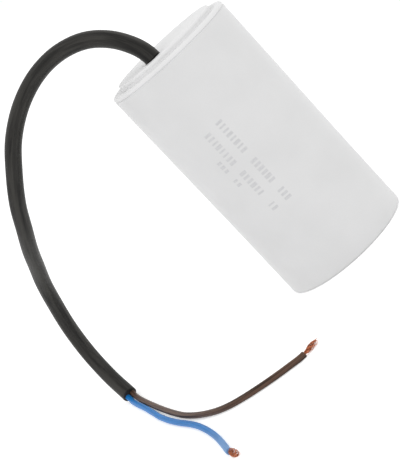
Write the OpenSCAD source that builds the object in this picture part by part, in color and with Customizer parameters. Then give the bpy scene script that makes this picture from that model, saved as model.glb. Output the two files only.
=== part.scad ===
// Motor run capacitor: a film capacitor potted in a moulded can, with a two-core cable.
// Millimetres. The can stands on its ring foot at z = 0, with its axis on Z.

/* [Can] */
// Outer diameter of the can at its base
case_d = 50; // [46:0.5:60]
// Height of the can's mouth above the foot
case_h = 93.2; // [86:0.1:110]
// Thickness of the can's wall
case_wall = 1.6; // [1.4:0.1:2]
// Thickness of the can's floor
case_floor = 2.2; // [1.8:0.1:3]
// Height of the straight band that a bracket grips
band_h = 30; // [20:1:40]
// Draft of the wall above the band, in degrees
case_draft = 0.37; // [0.1:0.01:0.6]
// Radius round the bottom edge of the can
base_edge_r = 1; // [0.5:0.1:1.5]
// Radius inside the can, where the wall meets the floor
inner_edge_r = 1.5; // [0.8:0.1:2]
// Width of the ring foot
foot_w = 6; // [4:0.5:10]
// Depth of the hollow inside the ring foot
foot_depth = 0.6; // [0.3:0.1:1]
// Chamfers of the can's mouth and the rim above it, which meet as the seam
seam_chamfer = 0.35; // [0.1:0.05:0.4]

/* [Lid] */
// Height of the rim that sits on the can's mouth
rim_h = 1.6; // [1.6:0.1:2.4]
// Width of the rim, from the outside of the can to the groove
rim_w = 3.2; // [2.8:0.1:4]
// Radius along the outer edge of the rim
rim_edge_r = 1.2; // [0.6:0.1:1.2]
// Width of the groove between the rim and the disc
groove_w = 1.3; // [0.8:0.1:2]
// Depth of the groove below the top of the rim
groove_depth = 0.8; // [0.4:0.1:1.2]
// Height of the disc above the rim
disc_h = 1.9; // [1.2:0.1:3]
// Radius along the top edge of the disc
disc_edge_r = 0.6; // [0.3:0.1:0.8]
// Height of the lip round the top of the disc
lip_h = 1.1; // [0.9:0.1:1.2]
// How far the lip stands out from the side of the disc
lip_out = 0.15; // [0.1:0.05:0.4]
// Thickness of the lid's plate and walls
lid_wall = 1.6; // [1.2:0.1:2]
// Depth of the skirt below the can's mouth
skirt_h = 6; // [5:0.5:7]
// Radius of the snap bead round the skirt
bead_r = 0.5; // [0.3:0.1:0.6]
// Clearance between the lid and the can
lid_gap = 0.1; // [0.05:0.05:0.2]

/* [Cable] */
// Outer diameter of the cable's jacket
cable_d = 6.2; // [5.6:0.1:6.6]
// Distance from the edge of the disc in to the middle of the cable hole
cable_inset = 7.7; // [6:0.1:9]
// Angle of the cable hole round the lid
cable_angle = 246.7; // [200:0.1:290]
// Clearance between the jacket and its hole
hole_gap = 0.1; // [0.05:0.05:0.2]
// Length of the collar below the hole
collar_h = 4; // [2:0.5:5]
// Depth of the jacket's inner end below the can's mouth
tail_depth = 12; // [10:0.5:13]
// Diameter of each insulated core
core_d = 2.2; // [1.8:0.1:2.3]
// Distance between the two cores where they leave the jacket
core_pitch = 2.4; // [2.4:0.1:2.8]
// Diameter of the bare conductor
conductor_d = 1.1; // [0.8:0.1:1.2]

/* [Element] */
// Gap between the wound element and the can's wall, filled with resin
pot_gap = 1.2; // [0.8:0.1:2]
// Depth of resin below the element
bottom_gap = 5; // [4.5:0.5:7]
// Distance from the can's mouth down to the top of the element
head_space = 22.4; // [21:0.1:26]
// Distance from the can's mouth down to the top of the resin
resin_drop = 8; // [7.5:0.5:9]
// Thickness of the film wrap round the roll
wrap_t = 0.4; // [0.2:0.1:0.8]
// Thickness of the sprayed metal on each end of the roll
spray_t = 0.8; // [0.4:0.1:1.2]
// Outer diameter of the winding tube
tube_d = 8; // [8:0.5:12]
// Wall of the winding tube
tube_wall = 1; // [0.6:0.1:1.1]
// Centre-line radius of each bend in the inner leads
bend_r = 2.5; // [2.3:0.1:3]
// Clearance between the inner leads and the sprayed metal
lead_gap = 0.3; // [0.2:0.1:0.6]
// Insulated length of each inner lead after its last bend
lead_run = 1.5; // [1:0.5:3]
// Bare length of each inner lead
lead_bare = 4; // [3:0.5:5]
// Radius of each solder joint on the sprayed metal
solder_r = 2.8; // [2.4:0.1:3.2]
// Height of each solder joint
solder_h = 2.5; // [2.4:0.1:3]

/* [Bare ends] */
// Wires in each bare end
wires = 7; // [5:1:9]
// Diameter of one wire
wire_d = 0.36; // [0.3:0.02:0.4]
// Length of the brown core's bare end
brown_bare = 7; // [5:0.5:9]
// Length of the blue core's bare end
blue_bare = 6; // [4:0.5:9]
// Spread of the brown core's wires at their widest
brown_flare = 0.75; // [0.5:0.05:0.8]
// Spread of the blue core's wires at their widest
blue_flare = 0.8; // [0.5:0.05:0.8]

/* [Hidden] */
$fn = 96;

// How far a cutting shape runs past the face that it cuts
over = 1;

// Radii of the can
base_r = case_d / 2;
inner_r = base_r - case_wall;
function draft_out(z) = max(0, z - band_h) * tan(case_draft);
mouth_r = base_r + draft_out(case_h);
mouth_inner_r = inner_r + draft_out(case_h);

// Heights and radii of the lid
rim_top = case_h + rim_h;
lid_top = rim_top + disc_h;
disc_r = mouth_r - rim_w - groove_w;
disc_side_r = disc_r - lip_out;
groove_z = rim_top - groove_depth;
skirt_r = inner_r + draft_out(case_h - skirt_h) - lid_gap;
bead_z = case_h - skirt_h / 2;

// Where the cable leaves the lid
cable_r = cable_d / 2;
core_r = core_d / 2;
cable_offset = disc_r - cable_inset;
cable_x = cable_offset * cos(cable_angle);
cable_y = cable_offset * sin(cable_angle);
hole_r = cable_r + hole_gap;
tail_z = case_h - tail_depth;

// The wound element
wrap_r = inner_r - pot_gap;
roll_r = wrap_r - wrap_t;
bore_r = tube_d / 2 - tube_wall;
element_low = case_floor + bottom_gap;
element_top = case_h - head_space;
resin_top = case_h - resin_drop;

// The inner leads, in a frame turned so that the cable hole lies on +X
lead_side = core_pitch / 2;
lead_z = element_top + core_r + lead_gap;
low_lead_z = element_low - core_r - lead_gap;
crossing_z = element_top + bend_r + core_r;
brown_turn_y = lead_side + bend_r + lead_run;
blue_turn_y = -brown_turn_y;

// Route of the jacket, from the lid over an arch and down to the surface
jacket_route = [
    [cable_x, cable_y, lid_top], [-9, -7.5, 107.5], [-17, -2, 115.5], [-27.5, 3.5, 119],
    [-39, 9, 118.5], [-50.5, 11, 114.5], [-61, 12, 107.5], [-69.5, 14, 98.5],
    [-77, 18, 89], [-82.5, 24, 80], [-87.5, 32.5, 72], [-91.5, 42, 64.5],
    [-95.5, 50.5, 56.5], [-99, 57, 46.5], [-102, 60.5, 35], [-103.5, 60, 22.5],
    [-103, 54.5, 11], [-101, 45.5, 2.5]
];
jacket_end_dir = unit([0.15, -0.78, -0.61]);
// Direction across the jacket's end, along which the two cores lie side by side
across = unit([0.98, 0.19, 0]);
jacket_end = jacket_route[len(jacket_route) - 1];

// Routes of the cores along the surface
rest_z = core_r;
brown_route = [
    jacket_end + across * lead_side, [-99.2, 42.5, 1.2], [-98.5, 39, rest_z], [-97, 32.2, rest_z],
    [-95.4, 25.5, rest_z], [-93.7, 18.8, rest_z], [-92, 12.2, rest_z], [-90.3, 5.6, rest_z],
    [-88.5, -1, rest_z], [-86.7, -7.5, rest_z], [-84.8, -14, rest_z], [-82.8, -20.5, rest_z],
    [-80.6, -27, rest_z], [-78, -33.4, rest_z], [-75, -39.7, rest_z], [-71.6, -45.8, rest_z],
    [-67.7, -51.6, rest_z], [-63.1, -56.6, rest_z], [-57.8, -60.6, rest_z], [-52, -64, rest_z],
    [-45.9, -67, rest_z], [-39.6, -69.4, rest_z], [-33.1, -70.7, rest_z]
];
blue_route = [
    jacket_end - across * lead_side, [-101.9, 42.5, 1.2], [-101.5, 39, rest_z], [-100.1, 33, rest_z],
    [-98.7, 27.2, rest_z], [-97.2, 21.3, rest_z], [-95.7, 15.1, rest_z], [-94.1, 8.6, rest_z],
    [-92.5, 2, rest_z], [-90.8, -4.5, rest_z], [-89.1, -10.9, rest_z], [-87.3, -17.3, rest_z],
    [-85.3, -23.6, rest_z], [-83.2, -29.8, rest_z], [-80.9, -36, rest_z], [-78.7, -42.2, rest_z],
    [-76.7, -48.5, rest_z], [-75, -54.9, rest_z], [-73.5, -61.3, rest_z], [-72.2, -67.7, rest_z],
    [-71.1, -74.1, rest_z], [-70.2, -80.6, rest_z], [-69.4, -87.2, rest_z], [-68.5, -94, rest_z]
];
brown_end_dir = unit([0.9, 0.4, 0]);
blue_end_dir = unit([0.3, -0.95, 0]);

// ---- Helpers ----

function unit(v) = v / norm(v);

// Half section of a round slab from z0 to z1, with its upper outer edge rounded
module round_slab(r, z0, z1, edge) {
    translate([0, z0]) square([r, z1 - edge - z0]);
    translate([0, z0]) square([r - edge, z1 - z0]);
    translate([r - edge, z1 - edge]) intersection() {
        circle(edge);
        square(edge);
    }
}

module ring(outer_r, inner_r, z0, z1) {
    translate([0, 0, z0]) difference() {
        cylinder(r = outer_r, h = z1 - z0);
        translate([0, 0, -over]) cylinder(r = inner_r, h = z1 - z0 + 2 * over);
    }
}

module at_cable() {
    translate([cable_x, cable_y, 0]) children();
}

// Turns the leads' own frame so that its +X points at the cable hole
module in_lead_frame() {
    rotate([0, 0, cable_angle]) children();
}

function columns(x, y, z, at) = [
    [x[0], y[0], z[0], at[0]], [x[1], y[1], z[1], at[1]], [x[2], y[2], z[2], at[2]], [0, 0, 0, 1]
];

// A straight round rod between two points that differ along one axis only
module rod(from, to, d) {
    $fn = 48;
    along = unit(to - from);
    side = abs(along[2]) > 0.5 ? [1, 0, 0] : [0, 0, 1];
    multmatrix(columns(side, cross(along, side), along, from)) cylinder(d = d, h = norm(to - from));
}

// A quarter bend at a corner, from the direction "into" to the direction "out_of"
module elbow(corner, into, out_of, d) {
    $fn = 48;
    centre = corner - bend_r * into + bend_r * out_of;
    multmatrix(columns(-out_of, into, cross(-out_of, into), centre))
        rotate_extrude(angle = 90) translate([bend_r, 0]) circle(d = d);
}

// A wire through the points, with square corners rounded to bend_r
module bent_wire(points, d, i = 0) {
    last = len(points) - 2;
    along = unit(points[i + 1] - points[i]);
    rod(points[i] + (i > 0 ? bend_r : 0) * along,
        points[i + 1] - (i < last ? bend_r : 0) * along, d);
    if (i < last) {
        elbow(points[i + 1], along, unit(points[i + 2] - points[i + 1]), d);
        bent_wire(points, d, i + 1);
    }
}

function tangents(path, first, last) = [
    for (i = [0 : len(path) - 1])
        i == 0 ? first : i == len(path) - 1 ? last : unit(path[i + 1] - path[i - 1])
];

// A ring of points round a path; "beside" is any direction that the path never takes
function hoop(centre, along, beside, r, sides) =
    let (u = unit(cross(beside, along)), v = cross(along, u))
    [for (k = [0 : sides - 1]) centre + r * (cos(360 * k / sides) * u + sin(360 * k / sides) * v)];

// A closed tube swept along a path, with flat ends square to "first" and "last"
module swept_tube(path, d, sides, beside, first, last) {
    along = tangents(path, first, last);
    hoops = [for (i = [0 : len(path) - 1]) each hoop(path[i], along[i], beside, d / 2, sides)];
    wall = [
        for (i = [0 : len(path) - 2], k = [0 : sides - 1])
            let (a = i * sides + k, b = i * sides + (k + 1) % sides)
                each [[a, a + sides, b + sides], [a, b + sides, b]]
    ];
    start_cap = [for (k = [0 : sides - 1]) k];
    end_cap = [for (k = [sides - 1 : -1 : 0]) (len(path) - 1) * sides + k];
    polyhedron(points = hoops, faces = concat([start_cap], wall, [end_cap]), convexity = 10);
}

// Points of one wire of a bare end: it winds round the core's line, spreads and closes again
function wire_path(root, along, length, flare, turn, share) =
    let (side = unit(cross([0, 0, 1], along)), steps = 6, base = wire_d, reach = length * share)
    [for (i = [0 : steps])
        let (f = i / steps, spread = base + (flare - base) * sin(180 * pow(f, 1.3)),
             angle = turn + 150 * f)
            root + along * (reach * f) + spread * (cos(angle) * side + sin(angle) * [0, 0, 1])];

module bare_end(root, along, length, flare) {
    swept_tube([root, root + along * length * 0.5, root + along * length * 0.92],
        wire_d, 6, [0, 0, 1], along, along);
    around = wires - 1;
    for (w = [0 : around - 1])
        swept_tube(wire_path(root, along, length, flare, 360 * w / around, 1 - 0.06 * (w % 3)),
            wire_d, 6, [0, 0, 1], along, along);
}

// ---- Can and lid ----

// Half section of the space inside the can, up to a height
module cavity_section(top) {
    z = case_floor + inner_edge_r;
    polygon([[0, z], [inner_r, z], [inner_r, band_h], [inner_r + draft_out(top), top], [0, top]]);
    translate([0, case_floor]) square([inner_r - inner_edge_r, inner_edge_r]);
    translate([inner_r - inner_edge_r, z]) circle(inner_edge_r);
}

module case_section() {
    difference() {
        union() {
            polygon([
                [0, base_edge_r], [base_r, base_edge_r], [base_r, band_h],
                [mouth_r - seam_chamfer * tan(case_draft), case_h - seam_chamfer],
                [mouth_r - seam_chamfer, case_h], [0, case_h]
            ]);
            square([base_r - base_edge_r, base_edge_r]);
            translate([base_r - base_edge_r, base_edge_r]) circle(base_edge_r);
        }
        cavity_section(case_h + over);
        // Hollow inside the ring foot, with a sloped edge
        polygon([
            [0, -over], [base_r - foot_w + over, -over], [base_r - foot_w - foot_depth, foot_depth],
            [0, foot_depth]
        ]);
        // Groove for the lid's snap bead
        translate([skirt_r, bead_z]) circle(bead_r + lid_gap);
    }
}

module case() {
    color([0.87, 0.87, 0.87]) rotate_extrude() case_section();
}

module lid_section() {
    difference() {
        union() {
            round_slab(mouth_r, case_h, rim_top, rim_edge_r);
            round_slab(disc_r, lid_top - lip_h, lid_top, disc_edge_r);
            translate([0, case_h]) square([disc_side_r, lid_top - lip_h - case_h]);
            translate([0, case_h - skirt_h]) square([skirt_r, skirt_h]);
            translate([skirt_r, bead_z]) circle(bead_r);
        }
        // Chamfer under the rim
        polygon([
            [mouth_r - seam_chamfer, case_h], [mouth_r + over, case_h],
            [mouth_r + over, case_h + seam_chamfer + over], [mouth_r, case_h + seam_chamfer]
        ]);
        // Groove round the disc, with a sloped outer side
        polygon([
            [disc_side_r, groove_z], [disc_r + groove_w - groove_depth / 2, groove_z],
            [disc_r + groove_w, rim_top], [disc_r + groove_w, rim_top + over],
            [disc_side_r, rim_top + over]
        ]);
        // Hollow under the disc and inside the skirt
        translate([0, case_h - skirt_h - over])
            square([disc_side_r - lid_wall, lid_top - lid_wall - case_h + skirt_h + over]);
        translate([0, case_h - skirt_h - over])
            square([skirt_r - lid_wall, groove_z - lid_wall - case_h + skirt_h + over]);
    }
    // Lip over the groove, put back after the cut
    round_slab(disc_r, lid_top - lip_h, lid_top, disc_edge_r);
}

module lid() {
    plate_z = lid_top - lid_wall;
    color([0.92, 0.92, 0.92]) difference() {
        union() {
            rotate_extrude() lid_section();
            // The collar runs up into the disc's plate
            at_cable() translate([0, 0, plate_z - collar_h])
                cylinder(r = hole_r + lid_wall, h = collar_h + lid_wall / 2);
        }
        at_cable() translate([0, 0, plate_z - collar_h - over])
            cylinder(r = hole_r, h = collar_h + lid_wall + 2 * over);
    }
}

// ---- Wound element ----

module film_roll() {
    color([0.72, 0.73, 0.75])
        ring(roll_r, tube_d / 2, element_low + spray_t, element_top - spray_t);
}

module film_wrap() {
    color([0.93, 0.88, 0.66]) ring(wrap_r, roll_r, element_low, element_top);
}

module core_tube() {
    color([0.9, 0.9, 0.86]) ring(tube_d / 2, bore_r, element_low, element_top);
}

module end_spray(z) {
    color([0.6, 0.61, 0.62]) ring(roll_r, tube_d / 2, z, z + spray_t);
}

module top_spray() {
    end_spray(element_top - spray_t);
}

module bottom_spray() {
    end_spray(element_low);
}

// ---- Inner leads and their solder joints ----

module brown_lead() {
    color([0.36, 0.27, 0.22]) in_lead_frame() bent_wire([
        [cable_offset, lead_side, tail_z], [cable_offset, lead_side, lead_z],
        [cable_offset, brown_turn_y, lead_z]
    ], core_d);
}

module blue_lead() {
    color([0.25, 0.5, 0.8]) in_lead_frame() bent_wire([
        [cable_offset, -lead_side, tail_z], [cable_offset, -lead_side, crossing_z],
        [0, -lead_side, crossing_z], [0, -lead_side, low_lead_z], [0, blue_turn_y, low_lead_z]
    ], core_d);
}

module brown_lead_end() {
    color([0.75, 0.73, 0.7]) in_lead_frame() rod([cable_offset, brown_turn_y, lead_z],
        [cable_offset, brown_turn_y + lead_bare, lead_z], conductor_d);
}

module blue_lead_end() {
    color([0.75, 0.73, 0.7]) in_lead_frame() rod([0, blue_turn_y, low_lead_z],
        [0, blue_turn_y - lead_bare, low_lead_z], conductor_d);
}

// A domed joint on the plane z = 0, with its foot at the origin
module solder_dome() {
    ball_r = (solder_r * solder_r + solder_h * solder_h) / (2 * solder_h);
    intersection() {
        translate([0, 0, solder_h - ball_r]) sphere(ball_r);
        translate([0, 0, solder_h / 2]) cube([2 * ball_r, 2 * ball_r, solder_h], center = true);
    }
}

module top_solder() {
    color([0.78, 0.79, 0.8]) difference() {
        in_lead_frame() translate([cable_offset, brown_turn_y + lead_bare, element_top])
            solder_dome();
        brown_lead_end();
    }
}

module bottom_solder() {
    color([0.78, 0.79, 0.8]) difference() {
        in_lead_frame() translate([0, blue_turn_y - lead_bare, element_low])
            mirror([0, 0, 1]) solder_dome();
        blue_lead_end();
    }
}

// ---- Resin ----

module resin() {
    color([0.8, 0.72, 0.55]) difference() {
        rotate_extrude() cavity_section(resin_top);
        ring(wrap_r, bore_r, element_low, element_top);
        brown_lead();
        brown_lead_end();
        blue_lead();
        blue_lead_end();
        in_lead_frame() {
            translate([cable_offset, brown_turn_y + lead_bare, element_top]) solder_dome();
            translate([0, blue_turn_y - lead_bare, element_low])
                mirror([0, 0, 1]) solder_dome();
        }
        at_cable() translate([0, 0, tail_z]) cylinder(d = cable_d, h = resin_top - tail_z + over);
        // The leads enter the jacket's end
        in_lead_frame() for (side = [-lead_side, lead_side])
            rod([cable_offset, side, tail_z + over], [cable_offset, side, tail_z - over], core_d);
    }
}

// ---- Cable ----

module cable_tail() {
    color([0.16, 0.16, 0.15]) at_cable()
        translate([0, 0, tail_z]) cylinder(d = cable_d, h = lid_top - tail_z);
}

module cable_jacket() {
    color([0.16, 0.16, 0.15])
        swept_tube(jacket_route, cable_d, 12, [0.4, 0.9, 0], [0, 0, 1], jacket_end_dir);
}

module brown_core() {
    color([0.36, 0.27, 0.22])
        swept_tube(brown_route, core_d, 8, [0, 0, 1], jacket_end_dir, brown_end_dir);
}

module blue_core() {
    color([0.25, 0.5, 0.8])
        swept_tube(blue_route, core_d, 8, [0, 0, 1], jacket_end_dir, blue_end_dir);
}

module brown_strands() {
    color([0.72, 0.4, 0.26])
        bare_end(brown_route[len(brown_route) - 1], brown_end_dir, brown_bare, brown_flare);
}

module blue_strands() {
    color([0.72, 0.4, 0.26])
        bare_end(blue_route[len(blue_route) - 1], blue_end_dir, blue_bare, blue_flare);
}

case();
lid();
resin();
film_roll();
film_wrap();
core_tube();
top_spray();
bottom_spray();
brown_lead();
brown_lead_end();
top_solder();
blue_lead();
blue_lead_end();
bottom_solder();
cable_tail();
cable_jacket();
brown_core();
blue_core();
brown_strands();
blue_strands();
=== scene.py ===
"""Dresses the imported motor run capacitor: can, lid, cable, stripped cores and sealed parts."""

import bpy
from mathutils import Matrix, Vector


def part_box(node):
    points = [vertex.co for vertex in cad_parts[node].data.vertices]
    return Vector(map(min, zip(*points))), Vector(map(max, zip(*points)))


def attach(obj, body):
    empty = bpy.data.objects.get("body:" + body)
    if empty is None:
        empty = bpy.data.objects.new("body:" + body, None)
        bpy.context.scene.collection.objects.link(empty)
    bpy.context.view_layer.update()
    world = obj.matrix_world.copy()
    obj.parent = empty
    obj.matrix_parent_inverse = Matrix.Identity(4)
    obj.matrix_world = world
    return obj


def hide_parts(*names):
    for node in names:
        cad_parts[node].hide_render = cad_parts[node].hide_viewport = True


bl_info = {
    "name": "Motor run capacitor",
    "version": (1, 0, 0),
    "blender": (4, 5, 0),
    "location": "3D View > Sidebar > Capacitor",
    "description": "Builds a moulded motor run capacitor with its cable over a packed CAD model",
    "category": "Object",
}

import math

import bmesh
import bpy
from bpy.props import (
    FloatProperty,
    FloatVectorProperty,
    IntProperty,
    PointerProperty,
)
from bpy.types import Operator, Panel, PropertyGroup
from mathutils import Matrix, Vector

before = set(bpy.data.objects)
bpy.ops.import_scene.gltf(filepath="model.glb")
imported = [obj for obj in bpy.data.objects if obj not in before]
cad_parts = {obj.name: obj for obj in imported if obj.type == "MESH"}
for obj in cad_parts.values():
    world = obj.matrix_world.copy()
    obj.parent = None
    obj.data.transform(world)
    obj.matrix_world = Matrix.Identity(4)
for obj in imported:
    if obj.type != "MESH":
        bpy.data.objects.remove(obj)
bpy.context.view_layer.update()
CASE_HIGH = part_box("case")[1]
LID_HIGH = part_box("lid")[1]
TAIL_LOW, TAIL_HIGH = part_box("cable_tail")

TURN = 2 * math.pi
GOLDEN_ANGLE = 2.39996
BODY = "root"

# The camera stands low and is rolled, so that the upright can lies slanting in the frame
CAMERA_PLACE = Vector((0.0, -0.568, 0.146))
CAMERA_RIGHT = Vector((0.732509, -0.081803, -0.675825))
CAMERA_UP = Vector((0.678152, 0.174455, 0.713915))
CAMERA_BACK = Vector((0.059501, -0.981261, 0.183265))
LENS_MM = 147.06
SENSOR_MM = 36.0
LAMPS = {"key": ((0.45, -0.6, 0.5), 0.5), "fill": ((-0.5, -0.5, 0.35), 0.6)}
LAMP_AIM = Vector((0, 0, 0.05))

# Routes of the free cable, in metres, along the tubes of the CAD model. The blue core's first
# stretch lies a little nearer to the brown one.
LID_EXIT = ((TAIL_LOW + TAIL_HIGH) / 2).xy.to_3d() + Vector((0, 0, LID_HIGH.z))
JACKET_ROUTE = [
    LID_EXIT,
    (-0.009, -0.0075, 0.1075),
    (-0.017, -0.002, 0.1155),
    (-0.0275, 0.0035, 0.119),
    (-0.039, 0.009, 0.1185),
    (-0.0505, 0.011, 0.1145),
    (-0.061, 0.012, 0.1075),
    (-0.0695, 0.014, 0.0985),
    (-0.077, 0.018, 0.089),
    (-0.0825, 0.024, 0.08),
    (-0.0875, 0.0325, 0.072),
    (-0.0915, 0.042, 0.0645),
    (-0.0955, 0.0505, 0.0565),
    (-0.099, 0.057, 0.0465),
    (-0.102, 0.0605, 0.035),
    (-0.1035, 0.06, 0.0225),
    (-0.103, 0.0545, 0.011),
    (-0.101, 0.0455, 0.0025),
]
JACKET_END_WAY = Vector((0.15, -0.78, -0.61)).normalized()
ACROSS_END = Vector((0.98, 0.19, 0.0)).normalized()
JACKET_END = Vector(JACKET_ROUTE[-1])
CORE_SIDE = 0.0012 * ACROSS_END
BROWN_ROUTE = [
    JACKET_END + CORE_SIDE,
    (-0.0992, 0.0425, 0.0012),
    (-0.0985, 0.039, 0.0011),
    (-0.097, 0.0322, 0.0011),
    (-0.0954, 0.0255, 0.0011),
    (-0.0937, 0.0188, 0.0011),
    (-0.092, 0.0122, 0.0011),
    (-0.0903, 0.0056, 0.0011),
    (-0.0885, -0.001, 0.0011),
    (-0.0867, -0.0075, 0.0011),
    (-0.0848, -0.014, 0.0011),
    (-0.0828, -0.0205, 0.0011),
    (-0.0806, -0.027, 0.0011),
    (-0.078, -0.0334, 0.0011),
    (-0.075, -0.0397, 0.0011),
    (-0.0716, -0.0458, 0.0011),
    (-0.0677, -0.0516, 0.0011),
    (-0.0631, -0.0566, 0.0011),
    (-0.0578, -0.0606, 0.0011),
    (-0.052, -0.064, 0.0011),
    (-0.0459, -0.067, 0.0011),
    (-0.0396, -0.0694, 0.0011),
    (-0.0331, -0.0707, 0.0011),
]
BLUE_ROUTE = [
    JACKET_END - CORE_SIDE,
    (-0.1015, 0.0425, 0.0012),
    (-0.101, 0.039, 0.0011),
    (-0.0996, 0.033, 0.0011),
    (-0.0982, 0.0272, 0.0011),
    (-0.0967, 0.0213, 0.0011),
    (-0.0952, 0.0151, 0.0011),
    (-0.0937, 0.0086, 0.0011),
    (-0.0922, 0.002, 0.0011),
    (-0.0908, -0.0045, 0.0011),
    (-0.0891, -0.0109, 0.0011),
    (-0.0873, -0.0173, 0.0011),
    (-0.0853, -0.0236, 0.0011),
    (-0.0832, -0.0298, 0.0011),
    (-0.0809, -0.036, 0.0011),
    (-0.0787, -0.0422, 0.0011),
    (-0.0767, -0.0485, 0.0011),
    (-0.075, -0.0549, 0.0011),
    (-0.0735, -0.0613, 0.0011),
    (-0.0722, -0.0677, 0.0011),
    (-0.0711, -0.0741, 0.0011),
    (-0.0702, -0.0806, 0.0011),
    (-0.0694, -0.0872, 0.0011),
    (-0.0685, -0.094, 0.0011),
]
WIRE_ROOT = 0.0004
BROWN_END_WAY = Vector((0.9, 0.4, 0.0)).normalized()
BLUE_END_WAY = Vector((0.3, -0.95, 0.0)).normalized()


# ---- Sizes and colours ----


def length(name, note, default, low=0.0, high=1.0):
    return FloatProperty(
        name=name, description=note, default=default, min=low, max=high,
        subtype="DISTANCE", unit="LENGTH", precision=5,
    )


def colour(name, note, default):
    return FloatVectorProperty(
        name=name, description=note, default=default, min=0.0, max=1.0, size=3, subtype="COLOR"
    )


def amount(name, note, default):
    return FloatProperty(name=name, description=note, default=default, min=0.0)


class CapacitorCanSizes(PropertyGroup):
    base_radius: length("Base radius", "Outer radius over the straight band", 0.025)
    mouth_radius: length("Mouth radius", "Outer radius at the mouth", CASE_HIGH.x)
    height: length("Height", "Height of the mouth above the foot", CASE_HIGH.z)
    band: length("Band height", "Height of the straight band", 0.03)
    wall: length("Wall", "Thickness of the wall", 0.0016)
    floor: length("Floor", "Thickness of the floor", 0.0022)
    base_edge: length("Base edge", "Radius round the bottom edge", 0.001)
    inner_edge: length("Inner edge", "Radius inside, between wall and floor", 0.0015)
    foot_width: length("Foot width", "Width of the ring foot", 0.006)
    foot_depth: length("Foot depth", "Depth of the hollow in the foot", 0.0006)
    seam: length("Seam", "Chamfers of the mouth and of the rim above it", 0.00035)
    plastic: colour("Can colour", "Colour of the moulded can", (0.775, 0.775, 0.777))


class CapacitorLidSizes(PropertyGroup):
    rim_height: length("Rim height", "Height of the rim above the can", 0.0016)
    rim_width: length("Rim width", "Width of the rim", 0.0032)
    rim_edge: length("Rim edge", "Radius along the rim's outer edge", 0.0012)
    groove_width: length("Groove width", "Width of the groove", 0.0013)
    groove_depth: length("Groove depth", "Depth of the groove", 0.0008)
    disc_edge: length("Disc edge", "Radius along the disc's top edge", 0.0006)
    lip_height: length("Lip height", "Height of the lip round the disc", 0.0011)
    lip_out: length("Lip out", "How far the lip stands out", 0.00015)
    wall: length("Lid wall", "Thickness of the lid", 0.0016)
    skirt: length("Skirt", "Depth of the skirt below the can's mouth", 0.006)
    skirt_gap: length("Skirt gap", "Clearance between skirt and can", 0.0001)
    bead: length("Bead", "Radius of the snap bead round the skirt", 0.0005)
    hole_radius: length("Hole radius", "Radius of the cable hole", 0.0032)
    collar_height: length("Collar height", "Height of the collar below the hole", 0.004)
    # Lighter than the can's colour: painted light, standing in for the brighter light that falls on
    # the lid's top face.
    plastic: colour("Lid colour", "Colour of the moulded lid", (0.85, 0.85, 0.852))


class CapacitorMarkSizes(PropertyGroup):
    tall: length("Tall mark", "Height of a mark in the two long rows", 0.0026)
    low: length("Low mark", "Height of a mark in the short row", 0.0018)
    step: length("Step", "Distance from one mark to the next", 0.0018)
    film: length("Film", "Thickness of the printed film", 0.00003)
    seed: IntProperty(name="Seed", description="Seed of the marks' widths", default=4, min=0)
    ink: colour("Ink", "Colour of the plain marks", (0.64, 0.64, 0.65))


class CapacitorCableSizes(PropertyGroup):
    jacket: length("Jacket", "Outer diameter of the jacket", 0.0062)
    core: length("Core", "Outer diameter of a core", 0.0022)
    cut_edge: length("Cut edge", "Rounding along a cut end", 0.00025)
    jacket_colour: colour("Jacket colour", "Colour of the jacket", (0.0175, 0.0167, 0.015))
    brown: colour("Brown", "Colour of the brown core", (0.066, 0.038, 0.026))
    blue: colour("Blue", "Colour of the blue core", (0.01, 0.18, 0.52))


class CapacitorWireSizes(PropertyGroup):
    count: IntProperty(
        name="Wires", description="Wires in each bare end", default=19, min=5, max=60
    )
    radius: length("Wire radius", "Radius of one wire", 0.00012)
    brown_length: length("Brown end", "Length of the brown core's bare end", 0.007)
    blue_length: length("Blue end", "Length of the blue core's bare end", 0.0076)
    brown_flare: length("Brown flare", "Spread of the brown core's wires", 0.00085)
    blue_flare: length("Blue flare", "Spread of the blue core's wires", 0.00125)
    seed: IntProperty(name="Seed", description="Seed of the wires' lay", default=7, min=0)
    copper: colour("Copper", "Colour of the bare wires", (0.52, 0.18, 0.09))


class CapacitorStageSizes(PropertyGroup):
    sky: amount("Sky", "Strength of the even light", 0.96)
    key: amount("Key", "Power of the key lamp in watts", 0.15)
    fill: amount("Fill", "Power of the fill lamp in watts", 0.12)
    glow: amount("Floor glow", "Strength that lifts the floor to white for the camera", 0.4)
    floor_size: length("Floor size", "Radius of the floor", 60.0, high=200.0)


# ---- Materials ----


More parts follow.
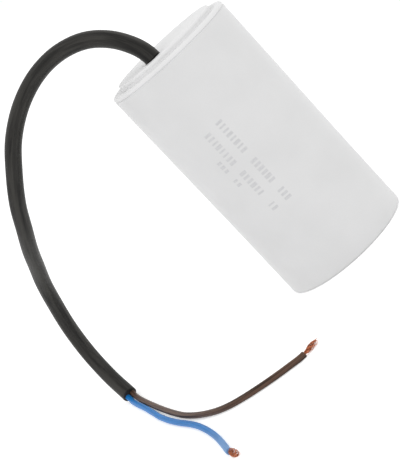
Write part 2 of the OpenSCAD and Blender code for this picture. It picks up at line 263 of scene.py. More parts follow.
class Recipe:
    """A material being put together from nodes."""

    def __init__(self, name):
        self.material = bpy.data.materials.new(name)
        self.material.use_nodes = True
        self.nodes = self.material.node_tree.nodes
        self.links = self.material.node_tree.links
        self.shader = self.nodes["Principled BSDF"]

    def add(self, kind, inputs=None, **settings):
        node = self.nodes.new(kind)
        for key, value in settings.items():
            setattr(node, key, value)
        for key, value in (inputs or {}).items():
            self.feed(node.inputs[key], value)
        return node

    def feed(self, socket, value):
        if isinstance(value, bpy.types.NodeSocket):
            self.links.new(value, socket)
        else:
            socket.default_value = value

    def set(self, **values):
        for key, value in values.items():
            self.feed(self.shader.inputs[key.replace("_", " ")], value)

    def object_place(self, scale=(1, 1, 1)):
        source = self.add("ShaderNodeTexCoord").outputs["Object"]
        return self.add("ShaderNodeMapping", {"Vector": source, "Scale": scale}).outputs[0]

    def cable_place(self, around, along):
        source = self.add("ShaderNodeAttribute", attribute_name="cable_way").outputs["Vector"]
        scale = (around, around, along)
        return self.add("ShaderNodeMapping", {"Vector": source, "Scale": scale}).outputs[0]

    def noise(self, place, scale, detail=3.0, roughness=0.5):
        wanted = {"Vector": place, "Scale": scale, "Detail": detail, "Roughness": roughness}
        return self.add("ShaderNodeTexNoise", wanted).outputs["Fac"]

    def spread(self, value, low, high, start=0.3, end=0.7):
        wanted = {
            "Value": value, "From Min": start, "From Max": end, "To Min": low, "To Max": high
        }
        return self.add("ShaderNodeMapRange", wanted, interpolation_type="SMOOTHSTEP").outputs[0]

    def mixed(self, share, first, second):
        node = self.add("ShaderNodeMix", data_type="RGBA")
        for socket, value in zip((node.inputs[0], node.inputs[6], node.inputs[7]),
                                 (share, first, second)):
            self.feed(socket, value)
        return node.outputs[2]

    def bump(self, height, strength, distance, under=None):
        wanted = {"Height": height, "Strength": strength, "Distance": distance}
        if under is not None:
            wanted["Normal"] = under
        return self.add("ShaderNodeBump", wanted).outputs[0]


def shade(tint, factor):
    return tuple(min(1.0, part * factor) for part in tint) + (1.0,)


def moulded_plastic(name, tint, roughness, shine):
    """Fine matt moulding: a faint cloudiness, a fine spark-eroded grain and slow sink waves."""
    recipe = Recipe(name)
    place = recipe.object_place()
    cloud = recipe.noise(place, 55.0, 2.0)
    grain = recipe.noise(place, 2600.0, 2.0, 0.6)
    wave = recipe.noise(place, 28.0, 1.0)
    tone = recipe.mixed(recipe.spread(cloud, 0.0, 1.0), shade(tint, 0.975), shade(tint, 1.015))
    tone = recipe.mixed(recipe.spread(grain, 0.0, 0.25), tone, shade(tint, 0.93))
    recipe.set(
        Base_Color=tone,
        Roughness=recipe.spread(grain, roughness - 0.03, roughness + 0.05),
        Normal=recipe.bump(grain, 0.05, 0.00006, recipe.bump(wave, 0.1, 0.0004)),
    )
    recipe.shader.inputs["Specular IOR Level"].default_value = shine
    return recipe.material


def cable_skin(name, tint, light, dark, roughness, streak_and_sheen_scale, shine, worn=None):
    """Extruded insulation: streaks along the cable that are partly real and partly painted sheen
    and shade, tiny scuffs and maybe a worn far end.
    """
    recipe = Recipe(name)
    # The streak tone is partly extrusion streaks and partly painted sheen and shade: broad lighter
    # and darker bands around the cable, drawn out along it.
    streak_and_sheen = recipe.noise(recipe.cable_place(streak_and_sheen_scale, 30.0), 1.0, 4.0, 0.65)
    patch = recipe.noise(recipe.cable_place(0.8, 90.0), 1.0, 3.0)
    scuff = recipe.noise(recipe.object_place(), 1900.0, 3.0, 0.7)
    share = recipe.spread(streak_and_sheen, 0.0, 1.0, 0.35, 0.65)
    tone = recipe.mixed(share, shade(tint, dark), shade(tint, light))
    tone = recipe.mixed(recipe.spread(patch, 0.0, 0.35), tone, shade(tint, light))
    if worn:
        start, end, pale = worn
        parts = recipe.add("ShaderNodeSeparateXYZ", {"Vector": recipe.cable_place(1, 1)})
        tone = recipe.mixed(recipe.spread(parts.outputs["Z"], 0.0, 0.6, start, end), tone, pale)
    recipe.set(
        Base_Color=tone,
        Roughness=recipe.spread(scuff, roughness - 0.05, roughness + 0.1),
        Normal=recipe.bump(scuff, 0.12, 0.00006, recipe.bump(streak_and_sheen, 0.25, 0.00012)),
    )
    recipe.shader.inputs["Specular IOR Level"].default_value = shine
    return recipe.material


def bare_wire(name, tint):
    """Drawn copper wire with painted light: a bright and dark tone paints glints and shade over the
    drawn finish, and darker spots paint both touched copper and the shade between the wires.
    """
    recipe = Recipe(name)
    drawn_and_glint = recipe.noise(recipe.object_place(), 2200.0, 2.0)
    touched_and_gap_shade = recipe.noise(recipe.object_place(), 700.0, 3.0)
    # Painted glints and shade: the tone swings from dark to bright across the drawn pattern.
    tone = recipe.mixed(recipe.spread(drawn_and_glint, 0.0, 1.0), shade(tint, 0.45), shade(tint, 1.6))
    # Darker spots paint both touched copper and the shade between the wires.
    tone = recipe.mixed(recipe.spread(touched_and_gap_shade, 0.0, 0.5), tone, shade(tint, 0.55))
    recipe.set(
        Base_Color=tone,
        Roughness=recipe.spread(touched_and_gap_shade, 0.28, 0.5),
        Normal=recipe.bump(drawn_and_glint, 0.2, 0.00005),
    )
    recipe.shader.inputs["Metallic"].default_value = 1.0
    return recipe.material


def printed_ink(name, tint):
    """Thin pad-printed ink that lies slightly unevenly on the plastic."""
    recipe = Recipe(name)
    film = recipe.noise(recipe.object_place(), 1500.0, 3.0, 0.6)
    tone = recipe.mixed(recipe.spread(film, 0.0, 1.0), shade(tint, 0.96), shade(tint, 1.08))
    recipe.set(
        Base_Color=tone,
        Roughness=recipe.spread(film, 0.4, 0.55),
        Normal=recipe.bump(film, 0.1, 0.00003),
    )
    return recipe.material


def inner_finish(name, tint, roughness, scale, metallic=0.0, stretch=(1, 1, 1)):
    """Finish of a part that is sealed inside: a base colour broken up at its own scale."""
    recipe = Recipe(name)
    grain = recipe.noise(recipe.object_place(stretch), scale, 3.0, 0.6)
    tone = recipe.mixed(recipe.spread(grain, 0.0, 1.0), shade(tint, 0.82), shade(tint, 1.1))
    recipe.set(
        Base_Color=tone,
        Roughness=recipe.spread(grain, roughness - 0.08, roughness + 0.08),
        Normal=recipe.bump(grain, 0.3, 0.0001),
    )
    recipe.shader.inputs["Metallic"].default_value = metallic
    return recipe.material


# ---- Meshes ----


def arc(centre, radius, start, end, steps):
    """Points of an arc in a half section, from one angle to another in degrees."""
    return [
        (
            centre[0] + radius * math.cos(math.radians(start + (end - start) * i / steps)),
            centre[1] + radius * math.sin(math.radians(start + (end - start) * i / steps)),
        )
        for i in range(steps + 1)
    ]


def turned(name, section, sides=240):
    """A closed turned part: a half section that starts and ends on the axis, turned about Z."""
    made = bmesh.new()
    ways = [(math.cos(TURN * k / sides), math.sin(TURN * k / sides)) for k in range(sides)]
    rings = []
    for radius, height in section:
        if radius < 1e-7:
            rings.append([made.verts.new((0, 0, height))])
            continue
        rings.append([made.verts.new((radius * x, radius * y, height)) for x, y in ways])
    for low, high in zip(rings, rings[1:]):
        for k in range(sides):
            n = (k + 1) % sides
            around = ((low, k), (low, n), (high, n), (high, k))
            corners = [ring[i % len(ring)] for ring, i in around]
            made.faces.new(list(dict.fromkeys(corners)))
    bmesh.ops.recalc_face_normals(made, faces=made.faces)
    mesh = bpy.data.meshes.new(name)
    made.to_mesh(mesh)
    made.free()
    return placed(name, mesh)


def placed(name, mesh):
    piece = bpy.data.objects.new(name, mesh)
    bpy.context.scene.collection.objects.link(piece)
    return piece


def smooth(piece, sharp_over=32.0):
    mesh = piece.data
    mesh.polygons.foreach_set("use_smooth", [True] * len(mesh.polygons))
    mesh.set_sharp_from_angle(angle=math.radians(sharp_over))
    mesh.update()


def finished(piece, material, slot, *nodes):
    """Gives a piece its material and body, and hides the CAD nodes that it stands for. The slot is
    not used.
    """
    piece.data.materials.clear()
    piece.data.materials.append(material)
    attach(piece, BODY)
    if nodes:
        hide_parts(*nodes)
    return piece


def combined(piece, other, operation):
    """Unites a closed shape with a piece or takes it out, and deletes the shape."""
    step = piece.modifiers.new("combined", "BOOLEAN")
    step.operation = operation
    step.solver = "EXACT"
    step.object = other
    baked_over(piece)
    bpy.data.objects.remove(other)


def welded(piece, distance=5e-6):
    """Closes the tiny edges that a cut leaves behind."""
    made = bmesh.new()
    made.from_mesh(piece.data)
    bmesh.ops.remove_doubles(made, verts=made.verts, dist=distance)
    bmesh.ops.dissolve_degenerate(made, edges=made.edges, dist=distance)
    made.to_mesh(piece.data)
    made.free()


def baked_over(piece):
    """Replaces a piece's mesh by what its modifiers make of it, and removes them."""
    bpy.context.view_layer.update()
    graph = bpy.context.evaluated_depsgraph_get()
    mesh = bpy.data.meshes.new_from_object(
        piece.evaluated_get(graph), preserve_all_data_layers=True, depsgraph=graph
    )
    mesh.name = piece.name
    piece.modifiers.clear()
    piece.data = mesh
    return piece


# ---- Geometry node trees ----


class Shaper:
    """A geometry node tree being put together, with named inputs."""

    def __init__(self, name, inputs):
        self.tree = bpy.data.node_groups.new(name, "GeometryNodeTree")
        face = self.tree.interface
        face.new_socket("Geometry", in_out="INPUT", socket_type="NodeSocketGeometry")
        for title, kind, default in inputs:
            socket = face.new_socket(title, in_out="INPUT", socket_type=kind)
            if default is not None:
                socket.default_value = default
        face.new_socket("Geometry", in_out="OUTPUT", socket_type="NodeSocketGeometry")
        self.inputs = self.add("NodeGroupInput").outputs
        self.result = self.add("NodeGroupOutput")

    def add(self, kind, inputs=None, **settings):
        node = self.tree.nodes.new(kind)
        for key, value in settings.items():
            setattr(node, key, value)
        for key, value in (inputs or {}).items():
            self.feed(node.inputs[key], value)
        return node

    def feed(self, socket, value):
        if isinstance(value, bpy.types.NodeSocket):
            self.tree.links.new(value, socket)
        else:
            socket.default_value = value

    def math(self, operation, first, second=0.0):
        node = self.add("ShaderNodeMath", operation=operation)
        self.feed(node.inputs[0], first)
        self.feed(node.inputs[1], second)
        return node.outputs[0]

    def times(self, first, second):
        return self.math("MULTIPLY", first, second)

    def plus(self, first, second):
        return self.math("ADD", first, second)

    def vector(self, x, y, z):
        return self.add("ShaderNodeCombineXYZ", {"X": x, "Y": y, "Z": z}).outputs[0]

    def keep(self, geometry, name, value, kind="FLOAT", domain="POINT"):
        """Stores a value on the geometry under a name."""
        node = self.add("GeometryNodeStoreNamedAttribute", data_type=kind, domain=domain)
        self.feed(node.inputs["Geometry"], geometry)
        self.feed(node.inputs["Name"], name)
        self.feed(node.inputs["Value"], value)
        return node.outputs[0]

    def recall(self, name, kind="FLOAT"):
        node = self.add("GeometryNodeInputNamedAttribute", {"Name": name}, data_type=kind)
        return node.outputs[0]

    def random(self, low, high, number, seed):
        node = self.add("FunctionNodeRandomValue", data_type="FLOAT")
        for socket in node.inputs:
            if socket.enabled:
                value = {"Min": low, "Max": high, "ID": number, "Seed": seed}.get(socket.name)
                if value is not None:
                    self.feed(socket, value)
        return next(o for o in node.outputs if o.enabled)

    def done(self, geometry):
        """Ends the tree: real geometry, with the material that was asked for."""
        real = self.add("GeometryNodeRealizeInstances", {"Geometry": geometry}).outputs[0]
        wanted = {"Geometry": real, "Material": self.inputs["Material"]}
        self.feed(self.result.inputs[0], self.add("GeometryNodeSetMaterial", wanted).outputs[0])
        return self.tree


def cable_tree():
    """Sweeps a round skin along a line. Every point has its own share of the radius."""
    shaper = Shaper("cable_skin_along_line", [
        ("Radius", "NodeSocketFloat", 0.0031),
        ("Sides", "NodeSocketInt", 24),
        ("Material", "NodeSocketMaterial", None),
    ])
    line = shaper.add("GeometryNodeMeshToCurve", {"Mesh": shaper.inputs["Geometry"]}).outputs[0]
    place = shaper.add("GeometryNodeSplineParameter").outputs
    line = shaper.keep(line, "along", place["Length"])
    hoop = shaper.add("GeometryNodeCurvePrimitiveCircle", {
        "Resolution": shaper.inputs["Sides"], "Radius": shaper.inputs["Radius"]
    }).outputs[0]
    hoop = shaper.keep(hoop, "turn", shaper.times(place["Factor"], TURN))
    skin = shaper.add("GeometryNodeCurveToMesh", {
        "Curve": line, "Profile Curve": hoop, "Scale": shaper.recall("share"), "Fill Caps": True
    }).outputs[0]
    way = shaper.vector(
        shaper.math("COSINE", shaper.recall("turn")),
        shaper.math("SINE", shaper.recall("turn")),
        shaper.recall("along"),
    )
    skin = shaper.keep(skin, "cable_way", way, "FLOAT_VECTOR")
    return shaper.done(skin)


def wire_tree():
    """A bunch of bare wires along +X that twist, spread and close again, and rest on the floor."""
    shaper = Shaper("bare_wire_bunch", [
        ("Wires", "NodeSocketInt", 19),
        ("Length", "NodeSocketFloat", 0.007),
        ("Spread", "NodeSocketFloat", 0.0008),
        ("Close", "NodeSocketFloat", 0.8),
        ("Wire Radius", "NodeSocketFloat", 0.00013),
        ("Lowest", "NodeSocketFloat", -0.0009),
        ("Seed", "NodeSocketInt", 0),
        ("Material", "NodeSocketMaterial", None),
    ])
    given = shaper.inputs
    seed = given["Seed"]
    points = shaper.add("GeometryNodePoints", {"Count": given["Wires"]}).outputs[0]
    index = shaper.add("GeometryNodeInputIndex").outputs[0]
    points = shaper.keep(points, "wire", index)
    straight = shaper.add("GeometryNodeCurvePrimitiveLine", {"End": (1, 0, 0)}).outputs[0]
    straight = shaper.add("GeometryNodeResampleCurve", {"Curve": straight, "Count": 24}).outputs[0]
    wires = shaper.add("GeometryNodeInstanceOnPoints", {
        "Points": points, "Instance": straight
    }).outputs[0]
    wires = shaper.add("GeometryNodeRealizeInstances", {"Geometry": wires}).outputs[0]
    number = shaper.recall("wire")
    f = shaper.add("GeometryNodeSplineParameter").outputs["Factor"]
    # The wires fill the core's round: golden-angle places, from the middle outwards
    filled = shaper.math("DIVIDE", shaper.plus(number, 0.5), given["Wires"])
    filled = shaper.math("SQRT", filled)
    reach = shaper.times(given["Length"], shaper.random(0.6, 1.02, number, seed))
    # They swell past the middle, and stay open at the end by what "Close" leaves
    swell = shaper.math("SINE", shaper.times(shaper.math("POWER", f, 1.6), math.pi))
    open_end = shaper.times(f, shaper.math("SUBTRACT", 1.0, given["Close"]))
    swell = shaper.times(shaper.plus(swell, open_end), given["Spread"])
    own = shaper.random(0.55, 1.1, number, shaper.plus(seed, 11.0))
    narrowing = shaper.math("SUBTRACT", 1.0, shaper.times(f, 0.6))
    root = shaper.times(shaper.times(given["Wire Radius"], 3.4), narrowing)
    away = shaper.times(filled, shaper.plus(root, shaper.times(swell, own)))
    twist = shaper.times(f, shaper.random(3.4, 4.4, number, seed))
    turn = shaper.plus(shaper.times(number, GOLDEN_ANGLE), twist)
    place = shaper.vector(
        shaper.times(f, reach),
        shaper.times(away, shaper.math("COSINE", turn)),
        shaper.math("MAXIMUM", shaper.times(away, shaper.math("SINE", turn)), given["Lowest"]),
    )
    wires = shaper.add("GeometryNodeSetPosition", {"Geometry": wires, "Position": place}).outputs[0]
    hoop = shaper.add("GeometryNodeCurvePrimitiveCircle", {
        "Resolution": 8, "Radius": given["Wire Radius"]
    }).outputs[0]
    skin = shaper.add("GeometryNodeCurveToMesh", {
        "Curve": wires, "Profile Curve": hoop, "Scale": 1.0, "Fill Caps": True
    }).outputs[0]
    return shaper.done(skin)


def marks_tree():
    """A row of plain printed blocks along +Z, wrapped round the can's wall."""
    shaper = Shaper("plain_mark_row", [
        ("Count", "NodeSocketInt", 12),
        ("Step", "NodeSocketFloat", 0.0024),
        ("Height", "NodeSocketFloat", 0.0026),
        ("Film", "NodeSocketFloat", 0.00003),
        ("Start", "NodeSocketFloat", 0.03),
        ("Turn", "NodeSocketFloat", 0.0),
        ("Band", "NodeSocketFloat", 0.03),
        ("Radius", "NodeSocketFloat", 0.025),
        ("Draft", "NodeSocketFloat", 0.006),
        ("Seed", "NodeSocketInt", 0),
        ("Material", "NodeSocketMaterial", None),
    ])
    given = shaper.inputs
    line = shaper.add("GeometryNodeMeshLine", {
        "Count": given["Count"],
        "Start Location": shaper.vector(0.0, 0.0, given["Start"]),
        "Offset": shaper.vector(0.0, 0.0, given["Step"]),
    }).outputs[0]
    number = shaper.add("GeometryNodeInputIndex").outputs[0]
    share = shaper.random(0.35, 0.75, number, given["Seed"])
    block = shaper.add("GeometryNodeMeshCube", {"Size": (1, 1, 1), "Vertices X": 7}).outputs[0]
    size = shaper.vector(given["Height"], given["Film"], shaper.times(share, given["Step"]))
    row = shaper.add("GeometryNodeInstanceOnPoints", {
        "Points": line, "Instance": block, "Scale": size
    }).outputs[0]
    row = shaper.add("GeometryNodeRealizeInstances", {"Geometry": row}).outputs[0]
    here = shaper.add("ShaderNodeSeparateXYZ", {
        "Vector": shaper.add("GeometryNodeInputPosition").outputs[0]
    }).outputs
    # A block lies on the wall: its X becomes an angle, and the wall widens above the band
    above = shaper.math("MAXIMUM", shaper.math("SUBTRACT", here["Z"], given["Band"]), 0.0)
    radius = shaper.plus(given["Radius"], shaper.times(above, given["Draft"]))
    out = shaper.math("SUBTRACT", radius, here["Y"])
    angle = shaper.plus(given["Turn"], shaper.math("DIVIDE", here["X"], given["Radius"]))
    front = shaper.times(shaper.math("COSINE", angle), -1.0)
    place = shaper.vector(
        shaper.times(out, shaper.math("SINE", angle)), shaper.times(out, front), here["Z"]
    )
    row = shaper.add("GeometryNodeSetPosition", {"Geometry": row, "Position": place}).outputs[0]
    return shaper.done(row)


def shaped(name, mesh, tree, **settings):
    """Runs a tree over a mesh, with settings by input name, and returns a plain mesh piece."""
    piece = placed(name, mesh)
    step = piece.modifiers.new("shape", "NODES")
    step.node_group = tree
    ids = {
        item.name: item.identifier
        for item in tree.interface.items_tree
        if item.item_type == "SOCKET" and item.in_out == "INPUT"
    }
    for title, value in settings.items():
        step[ids[title.replace("_", " ")]] = value
    return baked_over(piece)


def joined(name, pieces):
    """One plain mesh piece out of several."""
    made = bmesh.new()
    for piece in pieces:
        made.from_mesh(piece.data)
        bpy.data.objects.remove(piece)
    mesh = bpy.data.meshes.new(name)
    made.to_mesh(mesh)
    made.free()
    return placed(name, mesh)


# ---- Cable routes ----


def eased_route(points, first_way, last_way, spacing):
    """A smooth line through the points, with a point about every "spacing"."""
    points = [Vector(p) for p in points]
    ways = []
    for i, point in enumerate(points):
        if i == 0:
            ways.append(first_way * (points[1] - point).length)
        elif i == len(points) - 1:
            ways.append(last_way * (point - points[-2]).length)
        else:
            ways.append((points[i + 1] - points[i - 1]) / 2)
    line = []
    for i in range(len(points) - 1):
        a, b, wa, wb = points[i], points[i + 1], ways[i], ways[i + 1]
        steps = max(2, round((b - a).length / spacing))
        for k in range(steps):
            t = k / steps
            line.append(
                a * (2 * t**3 - 3 * t**2 + 1) + wa * (t**3 - 2 * t**2 + t)
                + b * (3 * t**2 - 2 * t**3) + wb * (t**3 - t**2)
            )
    line.append(points[-1])
    return line


def line_mesh(name, line, radius, edge):
    """A line as a mesh of edges, with each point's share of the radius, eased at the far end."""
    last = line[-1]
    way = (last - line[-2]).normalized()
    bends = (0.0, 0.4, 0.8, 1.2, math.pi / 2)
    body = [p for p in line[:-1] if (last - p).length > edge * 1.2]
    tip = [last - way * edge * (1 - math.sin(a)) for a in bends]
    shares = [1.0] * len(body) + [1 - edge / radius * (1 - math.cos(a)) for a in bends]
    mesh = bpy.data.meshes.new(name)
    mesh.from_pydata(body + tip, [(i, i + 1) for i in range(len(body + tip) - 1)], [])
    share = mesh.attributes.new("share", "FLOAT", "POINT")
    share.data.foreach_set("value", shares)
    return mesh


def swept_cable(name, route, first_way, last_way, diameter, edge, sides, lowest, material):
    line = eased_route(route, first_way, last_way, diameter / 3)
    line = [Vector((p.x, p.y, max(p.z, lowest))) for p in line]
    mesh = line_mesh(name, line, diameter / 2, edge)
    piece = shaped(name, mesh, cable_tree(), Radius=diameter / 2, Sides=sides, Material=material)
    smooth(piece, 50.0)
    return piece, line


def bare_end(name, root, way, reach, flare, close, seed, sizes, material):
    mesh = bpy.data.meshes.new(name)
    piece = shaped(
        name, mesh, wire_tree(), Wires=sizes.count, Length=reach, Spread=flare, Close=close,
        Wire_Radius=sizes.radius, Lowest=sizes.radius - root.z, Seed=seed, Material=material,
    )
    side = Vector((0, 0, 1)).cross(way).normalized()
    turn = Matrix((way, side, way.cross(side))).transposed().to_4x4()
    piece.data.transform(Matrix.Translation(root) @ turn)
    smooth(piece, 60.0)
    return piece


# ---- Operators ----


class CAPACITOR_OT_stage(Operator):
    """Sets the camera, the lamps, the even light and the pale floor"""

    bl_idname = "capacitor.stage"
    bl_label = "Stage"

    def execute(self, context):
        sizes = context.scene.capacitor_stage
        scene = context.scene
        lens = bpy.data.cameras.new("camera")
        lens.sensor_fit = "HORIZONTAL"
        lens.sensor_width = SENSOR_MM
        lens.lens = LENS_MM
        lens.clip_start = 0.01
        lens.clip_end = 500.0
        camera = bpy.data.objects.new("camera", lens)
        scene.collection.objects.link(camera)
        turn = Matrix((CAMERA_RIGHT, CAMERA_UP, CAMERA_BACK)).transposed().to_4x4()
        camera.matrix_world = Matrix.Translation(CAMERA_PLACE) @ turn
        scene.camera = camera

        for name, (place, size) in LAMPS.items():
            self.lamp(context, name, place, size, getattr(sizes, name))
        self.sky(context, sizes.sky)
        self.floor(sizes)
        scene.view_settings.view_transform = "Standard"
        return {"FINISHED"}

    def lamp(self, context, name, place, size, power):
        light = bpy.data.lights.new(name, "AREA")
        light.shape = "DISK"
        light.size = size
        light.energy = power
        lamp = bpy.data.objects.new(name, light)
        lamp.location = place
        lamp.rotation_euler = (LAMP_AIM - lamp.location).to_track_quat("-Z", "Y").to_euler()
        context.scene.collection.objects.link(lamp)

    def seen(self, nodes, links):
        """1 for rays from the camera, reflections and glass, and 0 for light that bounces."""
        path = nodes.new("ShaderNodeLightPath").outputs
        value = path["Is Camera Ray"]
        for name in ("Is Glossy Ray", "Is Transmission Ray"):
            most = nodes.new("ShaderNodeMath")
            most.operation = "MAXIMUM"
            links.new(value, most.inputs[0])
            links.new(path[name], most.inputs[1])
            value = most.outputs[0]
        return value

    def sky(self, context, strength):
        world = bpy.data.worlds.new("even_light")
        world.use_nodes = True
        nodes, links = world.node_tree.nodes, world.node_tree.links
        even = nodes["Background"]
        even.inputs["Color"].default_value = (1, 1, 1, 1)
        even.inputs["Strength"].default_value = strength
        white = nodes.new("ShaderNodeBackground")
        white.inputs["Color"].default_value = (1, 1, 1, 1)
        mix = nodes.new("ShaderNodeMixShader")
        links.new(self.seen(nodes, links), mix.inputs[0])
        links.new(even.outputs[0], mix.inputs[1])
        links.new(white.outputs[0], mix.inputs[2])
        links.new(mix.outputs[0], nodes["World Output"].inputs["Surface"])
        context.scene.world = world

    def floor(self, sizes):
        made = bmesh.new()
        bmesh.ops.create_circle(made, cap_ends=True, segments=96, radius=sizes.floor_size)
        mesh = bpy.data.meshes.new("floor")
        made.to_mesh(mesh)
        made.free()
        material = bpy.data.materials.new("pale_floor")
        material.use_nodes = True
        nodes, links = material.node_tree.nodes, material.node_tree.links
        surface = nodes["Principled BSDF"]
        surface.inputs["Base Color"].default_value = (0.9, 0.9, 0.9, 1)
        surface.inputs["Roughness"].default_value = 0.9
        surface.inputs["Specular IOR Level"].default_value = 0.0
        glow = nodes.new("ShaderNodeEmission")
        glow.inputs["Strength"].default_value = sizes.glow
        dark = nodes.new("ShaderNodeEmission")
        dark.inputs["Strength"].default_value = 0.0
        mix = nodes.new("ShaderNodeMixShader")
        total = nodes.new("ShaderNodeAddShader")
        links.new(self.seen(nodes, links), mix.inputs[0])
        links.new(dark.outputs[0], mix.inputs[1])
        links.new(glow.outputs[0], mix.inputs[2])
        links.new(surface.outputs[0], total.inputs[0])
        links.new(mix.outputs[0], total.inputs[1])
        links.new(total.outputs[0], nodes["Material Output"].inputs["Surface"])
        mesh.materials.append(material)
        placed("floor", mesh)


class CAPACITOR_OT_cable(Operator):
    """Lays the jacket, the two cores and their bare ends along the CAD model's routes"""

    bl_idname = "capacitor.cable"
    bl_label = "Cable"

    def execute(self, context):
        sizes = context.scene.capacitor_cable
        wires = context.scene.capacitor_wires
        copper = bare_wire("bare_copper", wires.copper)
        # The light and dark factors set how strong the painted sheen and shade in the streaks are.
        jacket_skin = cable_skin("jacket_skin", sizes.jacket_colour, 2.4, 0.3, 0.42, 1.4, 0.2)
        brown_skin = cable_skin("brown_skin", sizes.brown, 2.2, 0.35, 0.42, 2.4, 0.15)
        worn = (0.11, 0.144, (0.25, 0.4, 0.63, 1))
        blue_skin = cable_skin("blue_skin", sizes.blue, 1.2, 0.8, 0.4, 2.0, 0.15, worn)

        jacket, line = swept_cable(
            "outer_jacket", JACKET_ROUTE, Vector((0, 0, 1)), JACKET_END_WAY,
            sizes.jacket, sizes.cut_edge, 40, 0.0, jacket_skin,
        )
        finished(jacket, jacket_skin, "jacket", "cable_jacket")
        ends = (
            ("brown", BROWN_ROUTE, BROWN_END_WAY, brown_skin, 0.75),
            ("blue", BLUE_ROUTE, BLUE_END_WAY, blue_skin, 0.35),
        )
        for number, (name, route, way, skin, close) in enumerate(ends):
            core, line = swept_cable(
                name + "_insulation", route, JACKET_END_WAY, way, sizes.core,
                sizes.cut_edge / 2, 24, sizes.core / 2, skin,
            )
            finished(core, skin, name + "_insulation", name + "_core")
            reach, flare = (getattr(wires, name + part) for part in ("_length", "_flare"))
            strands = bare_end(
                name + "_wires", line[-1] - way * WIRE_ROOT, way, reach, flare, close,
                wires.seed + number, wires, copper,
            )
            finished(strands, copper, "bare_copper", name + "_strands")
        return {"FINISHED"}


class CAPACITOR_OT_can(Operator):
    """Moulds the can: ring foot, straight band, drafted wall, snap groove and mouth"""

    bl_idname = "capacitor.can"
    bl_label = "Can"

    def execute(self, context):
        s = context.scene.capacitor_can
        lid = context.scene.capacitor_lid
        foot = s.base_radius - s.foot_width
        draft = (s.mouth_radius - s.base_radius) / (s.height - s.band)
        inner = s.base_radius - s.wall
        mouth_inner = s.mouth_radius - s.wall
        bead_z = s.height - lid.skirt / 2
        bead_r = inner + draft * (s.height - lid.skirt - s.band) - lid.skirt_gap
        bead = lid.bead + lid.skirt_gap
        wall_at_bead = inner + draft * (bead_z - s.band)
        half = math.degrees(math.acos((wall_at_bead - bead_r) / bead))
        soft, near = 0.0004, 0.0001
        section = [(0, s.foot_depth), (foot - s.foot_depth - soft, s.foot_depth)]
        section += [(foot - s.foot_depth, s.foot_depth - near)]
        section += [(foot - near, 0.8 * near), (foot + 2 * near, 0)]
        section += arc((s.base_radius - s.base_edge, s.base_edge), s.base_edge, -90, 0, 10)
        section += [(s.base_radius, s.base_edge + soft)]
        section += [(s.base_radius, s.band * k / 3) for k in (1, 2, 3)]
        rise = s.height - s.seam - s.band
        section += [
            (s.base_radius + draft * rise * k / 6, s.band + rise * k / 6) for k in range(1, 7)
        ]
        section += [(s.mouth_radius - s.seam, s.height), (mouth_inner, s.height)]
        section += arc((bead_r, bead_z), bead, half, -half, 10)
        section += [(inner, s.band), (inner, s.floor + s.inner_edge)]
        section += arc(
            (inner - s.inner_edge, s.floor + s.inner_edge), s.inner_edge, 0, -90, 8
        )[1:]
        section += [(0, s.floor)]
        can = turned("moulded_can", section)
        smooth(can)
        plastic = moulded_plastic("can_plastic", s.plastic, 0.42, 0.4)
        finished(can, plastic, "case_plastic", "case")
        return {"FINISHED"}


class CAPACITOR_OT_lid(Operator):
    """Moulds the lid: raised disc with its lip, groove, rounded rim, skirt and cable hole"""

    bl_idname = "capacitor.lid"
    bl_label = "Lid"

    def execute(self, context):
        s = context.scene.capacitor_lid
        can = context.scene.capacitor_can
        top = LID_HIGH.z
        mouth_z = can.height
        rim_top = mouth_z + s.rim_height
        rim_r = can.mouth_radius
        disc_r = rim_r - s.rim_width - s.groove_width
        side_r = disc_r - s.lip_out
        groove_z = rim_top - s.groove_depth
        draft = (can.mouth_radius - can.base_radius) / (can.height - can.band)
        skirt_r = can.base_radius - can.wall + draft * (mouth_z - s.skirt - can.band) - s.skirt_gap
        bead_z = mouth_z - s.skirt / 2
        crest = disc_r + s.groove_width
        foot = crest - s.groove_depth / 2
        near, fillet = 0.0001, 0.0003
        section = [(0, top), (disc_r * 0.5, top)]
        section += arc((disc_r - s.disc_edge, top - s.disc_edge), s.disc_edge, 90, 0, 8)
        section += [(disc_r, top - s.lip_height + near), (side_r, top - s.lip_height - near)]
        section += arc((side_r + fillet, groove_z + fillet), fillet, 180, 270, 5)
        section += [(foot - 2 * near, groove_z), (foot, groove_z + 0.8 * near)]
        section += [(crest + near, rim_top - fillet), (crest + 2 * fillet, rim_top)]
        section += arc((rim_r - s.rim_edge, rim_top - s.rim_edge), s.rim_edge, 90, 0, 12)
        section += [(rim_r, mouth_z + can.seam), (rim_r - can.seam, mouth_z), (skirt_r, mouth_z)]
        section += arc((skirt_r, bead_z), s.bead, 90, -90, 8)
        section += [(skirt_r, mouth_z - s.skirt), (skirt_r - s.wall, mouth_z - s.skirt)]
        section += [(skirt_r - s.wall, groove_z - s.wall), (side_r - s.wall, groove_z - s.wall)]
        section += [(side_r - s.wall, top - s.wall), (0, top - s.wall)]
        lid = turned("moulded_lid", section)
        low = top - s.wall - s.collar_height
        combined(lid, self.collar(s.hole_radius + s.wall, low, top - s.wall / 2), "UNION")
        combined(lid, self.drill(s.hole_radius, top), "DIFFERENCE")
        welded(lid)
        smooth(lid)
        # The lid's lighter colour is painted light for its brighter top face.
        plastic = moulded_plastic("lid_plastic", s.plastic, 0.45, 0.2)
        finished(lid, plastic, "lid_plastic", "lid")
        return {"FINISHED"}

    def at_exit(self, tool):
        tool.data.transform(Matrix.Translation(LID_EXIT.xy.to_3d()))
        return tool

    def collar(self, radius, low, high):
        section = [(0, high), (radius, high), (radius, low), (0, low)]
        return self.at_exit(turned("collar", section, 64))

    def drill(self, radius, top):
        """A drill with a small countersink for the hole's rounded edge."""
        over, under = top + 0.001, top - 0.02
        section = [(0, over), (radius + 0.0012, over), (radius + 0.0002, top)]
        section += [(radius, top - 0.0002), (radius, under), (0, under)]
        return self.at_exit(turned("drill", section, 96))


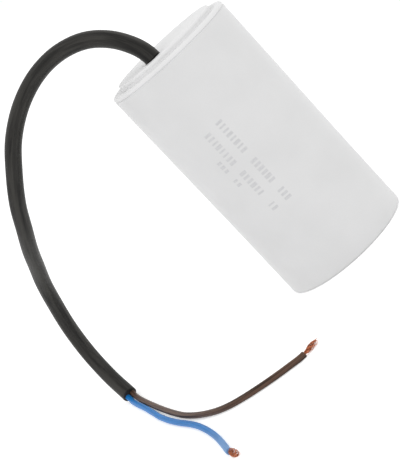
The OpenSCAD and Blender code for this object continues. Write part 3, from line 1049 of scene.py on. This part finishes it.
class CAPACITOR_OT_marks(Operator):
    """Prints three rows of plain blocks in groups on the can, which say nothing"""

    bl_idname = "capacitor.marks"
    bl_label = "Plain marks"

    def execute(self, context):
        s = context.scene.capacitor_marks
        can = context.scene.capacitor_can
        ink = printed_ink("grey_ink", s.ink)
        tree = marks_tree()
        rows = []
        draft = (can.mouth_radius - can.base_radius) / (can.height - can.band)
        # Each group: place across, height of its first block, number of blocks and their height
        plan = (
            (-0.0035, 0.0545, 8, s.tall),
            (-0.0035, 0.0405, 6, s.tall),
            (-0.0035, 0.0323, 3, s.tall),
            (-0.0092, 0.0535, 8, s.tall),
            (-0.0092, 0.0395, 6, s.tall),
            (-0.0092, 0.0323, 2, s.tall),
            (-0.0128, 0.0525, 3, s.low),
            (-0.0128, 0.0462, 2, s.low),
        )
        for number, (across, start, count, height) in enumerate(plan):
            rows.append(shaped(
                "group", bpy.data.meshes.new("group"), tree,
                Count=count, Step=s.step, Height=height, Film=s.film, Start=start,
                Turn=math.asin(across / can.base_radius), Band=can.band, Radius=can.base_radius,
                Draft=draft, Seed=s.seed + number, Material=ink,
            ))
        marks = joined("plain_marks", rows)
        finished(marks, ink, "case_plastic")
        return {"FINISHED"}


class CAPACITOR_OT_inside(Operator):
    """Gives the sealed winding, resin, leads and solder joints their finishes"""

    bl_idname = "capacitor.inside"
    bl_label = "Inside"

    def execute(self, context):
        cable = context.scene.capacitor_cable
        resin = inner_finish("cast_resin", (0.5, 0.4, 0.24), 0.3, 90.0)
        film = inner_finish("wound_film", (0.6, 0.6, 0.62), 0.25, 300.0, 0.6, stretch=(6, 6, 1))
        wrap = inner_finish("wrap_film", (0.8, 0.72, 0.45), 0.2, 200.0)
        tube = inner_finish("tube_plastic", (0.75, 0.75, 0.7), 0.45, 500.0)
        spray = inner_finish("sprayed_zinc", (0.42, 0.43, 0.44), 0.7, 1800.0, 0.7)
        solder = inner_finish("solder", (0.68, 0.68, 0.7), 0.25, 600.0, 1.0)
        tinned = inner_finish("tinned_wire", (0.7, 0.68, 0.64), 0.3, 2500.0, 1.0)
        brown = inner_finish("brown_lead_skin", tuple(cable.brown), 0.4, 900.0)
        blue = inner_finish("blue_lead_skin", tuple(cable.blue), 0.35, 900.0)
        tail = inner_finish("tail_skin", tuple(cable.jacket_colour), 0.45, 900.0)
        finishes = {
            "resin": resin, "film_roll": film, "film_wrap": wrap, "core_tube": tube,
            "top_spray": spray, "bottom_spray": spray, "top_solder": solder,
            "bottom_solder": solder, "brown_lead_end": tinned, "blue_lead_end": tinned,
            "brown_lead": brown, "blue_lead": blue, "cable_tail": tail,
        }
        for name, material in finishes.items():
            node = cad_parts[name]
            node.data.materials.clear()
            node.data.materials.append(material)
        return {"FINISHED"}


class CAPACITOR_PT_panel(Panel):
    """Lists the steps that build the capacitor"""

    bl_idname = "CAPACITOR_PT_panel"
    bl_label = "Motor run capacitor"
    bl_space_type = "VIEW_3D"
    bl_region_type = "UI"
    bl_category = "Capacitor"

    def draw(self, context):
        for step in STEPS:
            self.layout.operator(step.bl_idname)
        for name in GROUPS:
            box = self.layout.box()
            group = getattr(context.scene, name)
            for key in group.__annotations__:
                box.prop(group, key)


GROUPS = {
    "capacitor_can": CapacitorCanSizes,
    "capacitor_lid": CapacitorLidSizes,
    "capacitor_marks": CapacitorMarkSizes,
    "capacitor_cable": CapacitorCableSizes,
    "capacitor_wires": CapacitorWireSizes,
    "capacitor_stage": CapacitorStageSizes,
}
STEPS = (
    CAPACITOR_OT_stage,
    CAPACITOR_OT_cable,
    CAPACITOR_OT_can,
    CAPACITOR_OT_lid,
    CAPACITOR_OT_marks,
    CAPACITOR_OT_inside,
)


def register():
    for group in GROUPS.values():
        bpy.utils.register_class(group)
    for step in STEPS:
        bpy.utils.register_class(step)
    bpy.utils.register_class(CAPACITOR_PT_panel)
    for name, group in GROUPS.items():
        setattr(bpy.types.Scene, name, PointerProperty(type=group))


def unregister():
    for name in GROUPS:
        delattr(bpy.types.Scene, name)
    bpy.utils.unregister_class(CAPACITOR_PT_panel)
    for step in reversed(STEPS):
        bpy.utils.unregister_class(step)
    for group in reversed(list(GROUPS.values())):
        bpy.utils.unregister_class(group)


def main():
    register()
    bpy.ops.capacitor.stage()
    bpy.ops.capacitor.cable()
    bpy.ops.capacitor.can()
    bpy.ops.capacitor.lid()
    bpy.ops.capacitor.marks()
    bpy.ops.capacitor.inside()
    bpy.context.view_layer.update()


if __name__ == "__main__":
    main()
